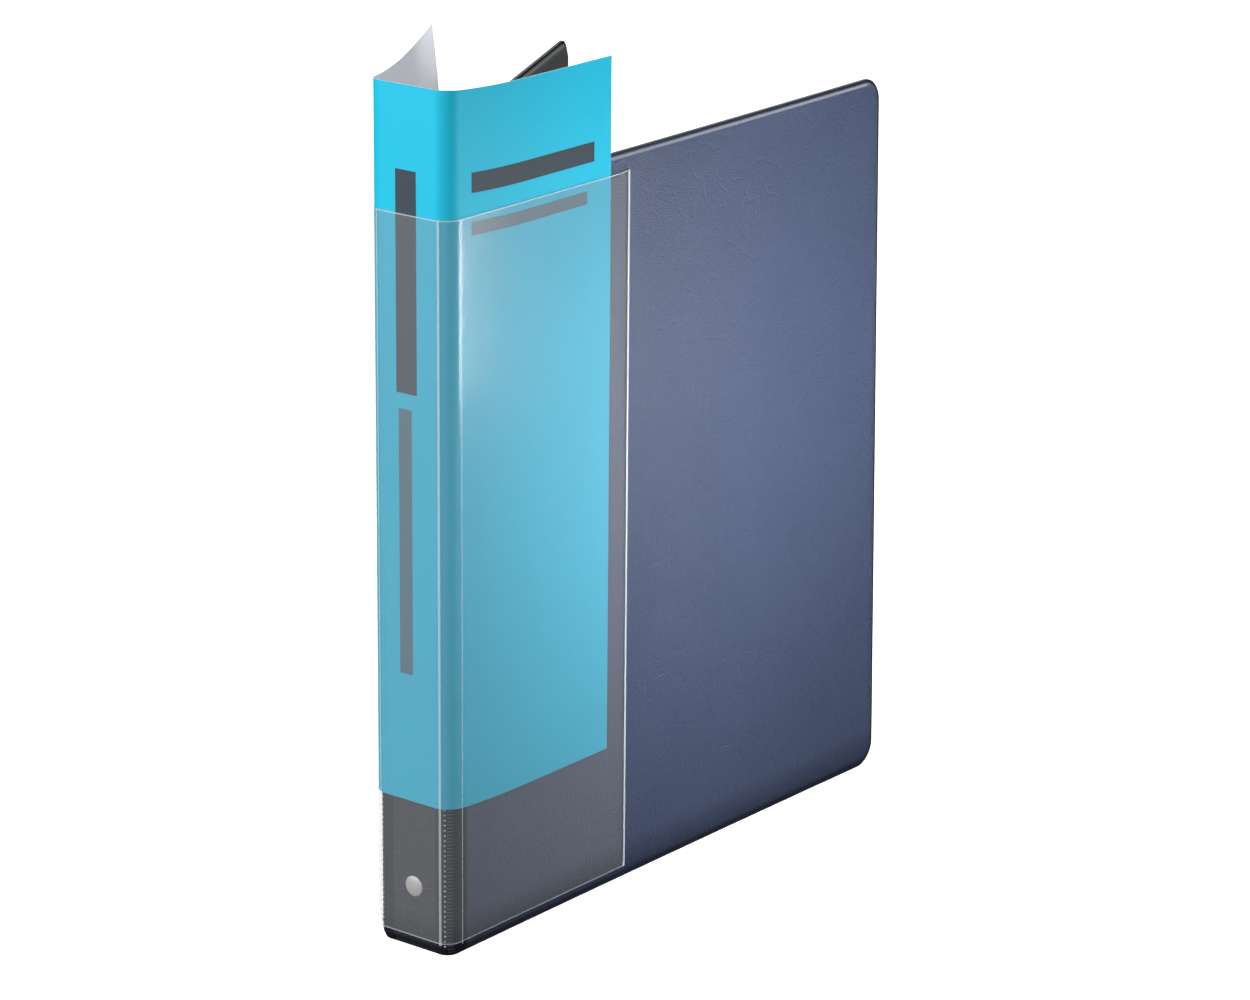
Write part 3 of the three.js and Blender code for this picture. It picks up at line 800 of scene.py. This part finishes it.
def make_film(film, bend_highlight_material, weld_line, faint_line):
    """The clear overlay, welded to the vinyl along its foot and its free edges, and open at the top."""
    heights = levels(FILM_FOOT, FILM_TOP, 3)
    offset = HALF_PANEL + FILM_LIFT
    settled = FILM_LIFT - WELD_LIFT

    def weld(run, z, x, y, nx, ny):
        foot = max(1 - (z - FILM_FOOT) / WELD_DIP_REACH, 0) ** 2
        edge = max(1 - (FILM_REACH - run) / WELD_DIP_REACH, 0) ** 2
        lean = twist(run, z) if x > 0 else 0.0
        return Vector((nx, ny)) * (lean - settled * max(foot, edge)), 0.0

    for label, side, splay, begin in HALVES:
        line = strip_line(offset, FILM_BEND_RADIUS, splay, side, FILM_REACH, begin)
        piece = sheet_from_line(f"{label}_overlay", line, heights, FILM_THICKNESS, [film], weld)
        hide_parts(f"{label}_film", *(["spine_film"] if side > 0 else []))
        hinge_blend(piece)

    above = offset + FILM_THICKNESS / 2 + LINE_LIFT
    # The strip at the mouth is a painted highlight on the film's cut top edge; the strip at the foot is a
    # pale line along the foot weld.
    spans = (
        ("foot_weld", FILM_FOOT, FILM_FOOT + FOOT_WELD_WIDTH),
        ("mouth_highlight", FILM_TOP - MOUTH_HIGHLIGHT_WIDTH, FILM_TOP),
    )
    for label, side, splay, begin in HALVES:
        line = strip_line(above, FILM_BEND_RADIUS + above - offset, splay, side, FILM_REACH, begin)
        for part, low, high in spans:
            name = f"{label}_film_{part}"
            piece = sheet_from_line(name, line, [low, high], LINE_THICKNESS, [faint_line], weld)
            hinge_blend(piece)
        # The side weld's pale line: the weld bead's own pale tone, with a painted highlight on it.
        x, y, nx, ny, run = line[-1]
        inward = Vector((-side * math.sin(splay), -math.cos(splay))) * SIDE_WELD_WIDTH
        ends = [(x + inward.x, y + inward.y, nx, ny, run - SIDE_WELD_WIDTH), line[-1]]
        name = f"{label}_film_side_weld"
        piece = sheet_from_line(name, ends, heights, LINE_THICKNESS, [weld_line], weld)
        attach(piece, f"{label}_cover")
    # Pale strips on the film's bends: painted highlights.
    for index, (side, low, high) in enumerate(BEND_HIGHLIGHTS):
        splay = splay_of(side)
        radius = FILM_BEND_RADIUS + above - offset
        name = f"film_bend_highlight_{index + 1}"
        turn_span = (low, high)
        piece = bend_strip(
            name, side, splay, above, radius, turn_span, heights, BEND_HIGHLIGHT_THICKNESS, bend_highlight_material
        )
        hinge_blend(piece)


def ring_half(name, side, z, steel):
    """Half of a ring as a smooth round wire: a straight leg out of the blade, then an arc to the seam."""
    radius = RING_INSIDE / 2 + RING_WIRE / 2
    start = math.asin(RING_ROOT / radius)
    leg_top = RING_CENTRE - radius * math.cos(start)
    path = [(RING_ROOT, RING_FOOT + (leg_top - RING_FOOT) * i / 3) for i in range(3)]
    arc_steps = 40
    sweep = math.pi - start - RING_SEAM / 2 / radius
    for i in range(arc_steps + 1):
        a = start + sweep * i / arc_steps
        path.append((radius * math.sin(a), RING_CENTRE - radius * math.cos(a)))
    bm = bmesh.new()
    sides = 20
    loops = []
    for i, (x, y) in enumerate(path):
        before, after = path[max(i - 1, 0)], path[min(i + 1, len(path) - 1)]
        ahead = Vector((after[0] - before[0], after[1] - before[1])).normalized()
        across = Vector((ahead.y, -ahead.x))
        loop = []
        for k in range(sides):
            a = 2 * math.pi * k / sides
            reach = across * math.cos(a) * RING_WIRE / 2
            point = Vector((side * (x + reach.x), y + reach.y, z + math.sin(a) * RING_WIRE / 2))
            loop.append(bm.verts.new(point * MM))
        loops.append(loop)
    for a, b in zip(loops, loops[1:]):
        for k in range(sides):
            bm.faces.new((a[k], a[(k + 1) % sides], b[(k + 1) % sides], b[k]))
    bm.faces.new(loops[0])
    bm.faces.new(loops[-1])
    bmesh.ops.recalc_face_normals(bm, faces=bm.faces[:])
    return new_object(name, bm, [steel])


def make_rings(steel):
    for side, label in ((-1, "left"), (1, "right")):
        for i in range(3):
            z = HEIGHT / 2 + (i - 1) * RING_PITCH
            half = ring_half(f"ring_wire_{label}_{i + 1}", side, z, steel)
            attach(half, f"ring_carrier_{label}")
            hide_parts(f"ring_{label}_{i + 1}")


def dress_metal(steel, satin):
    for name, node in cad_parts.items():
        if name.startswith(("ring_housing", "blade_", "lever_", "rivet_")):
            node.data.materials.clear()
            node.data.materials.append(satin if name.startswith("rivet_") else steel)


def dress_back_pocket(material):
    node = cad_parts["back_pocket"]
    node.data.materials.clear()
    node.data.materials.append(material)


def make_floor():
    bpy.ops.mesh.primitive_plane_add(size=8, location=(0, 0, -0.0002))
    floor = bpy.context.object
    floor.name = "floor"
    floor.data.materials.append(floor_material())
    floor.visible_diffuse = False
    floor.visible_glossy = False


make_camera()
make_lights()
make_floor()
navy = grained_vinyl("navy_vinyl", (0.054, 0.071, 0.127), (0.046, 0.061, 0.111), 0.42)
dark_lining = grained_vinyl("dark_lining", (0.115, 0.12, 0.122), (0.1, 0.105, 0.107), 0.5, 0.00006)
cyan = printed_paper("cyan_paper", (0.004, 0.4, 0.575), (0.0035, 0.38, 0.55))
white = printed_paper("white_paper", (0.86, 0.88, 0.94), (0.83, 0.85, 0.91))
slate_print = printed_paper("slate_print", (0.03, 0.045, 0.06), (0.027, 0.04, 0.055))
grey_print = printed_paper("grey_print", (0.07, 0.14, 0.18), (0.065, 0.13, 0.17))
film_clear = clear_film("clear_film")
# Painted highlight for the film's bends
painted_bend_highlight = pale_film("bend_highlight_film", 0.2)
# Pale line along the film's foot weld, and painted highlight along its open top edge
foot_weld_and_mouth_highlight = pale_film("foot_weld_and_mouth_highlight_film", 0.22)
# Side weld's bead: its own pale tone with a painted highlight
side_weld_with_highlight = pale_film("side_weld_highlight_film", 0.48)
charcoal = grained_vinyl("charcoal_vinyl", (0.024, 0.027, 0.036), (0.02, 0.023, 0.031), 0.42)
hinge_dark = hinge_vinyl("hinge_vinyl")
dark_rim = Nodes("weld_rim", Base_Color=(0.012, 0.014, 0.022, 1), Roughness=0.3).material
seam_pale = Nodes("seam_dots", Base_Color=(0.4, 0.41, 0.44, 1), Roughness=0.4).material
nickel = plated_steel("bright_nickel")
satin_nickel = Nodes("satin_nickel", Base_Color=(0.5, 0.5, 0.49, 1), Metallic=0.3, Roughness=0.45).material
chipboard = Nodes("chipboard", Base_Color=(0.35, 0.3, 0.23, 1), Roughness=0.9).material
make_case(navy, charcoal, dark_lining, chipboard, dark_rim)
make_hinges(hinge_dark, seam_pale)
make_insert(cyan, white)
make_bars(slate_print, grey_print)
make_film(film_clear, painted_bend_highlight, side_weld_with_highlight, foot_weld_and_mouth_highlight)
make_rings(nickel)
dress_metal(nickel, satin_nickel)
dress_back_pocket(dark_lining)
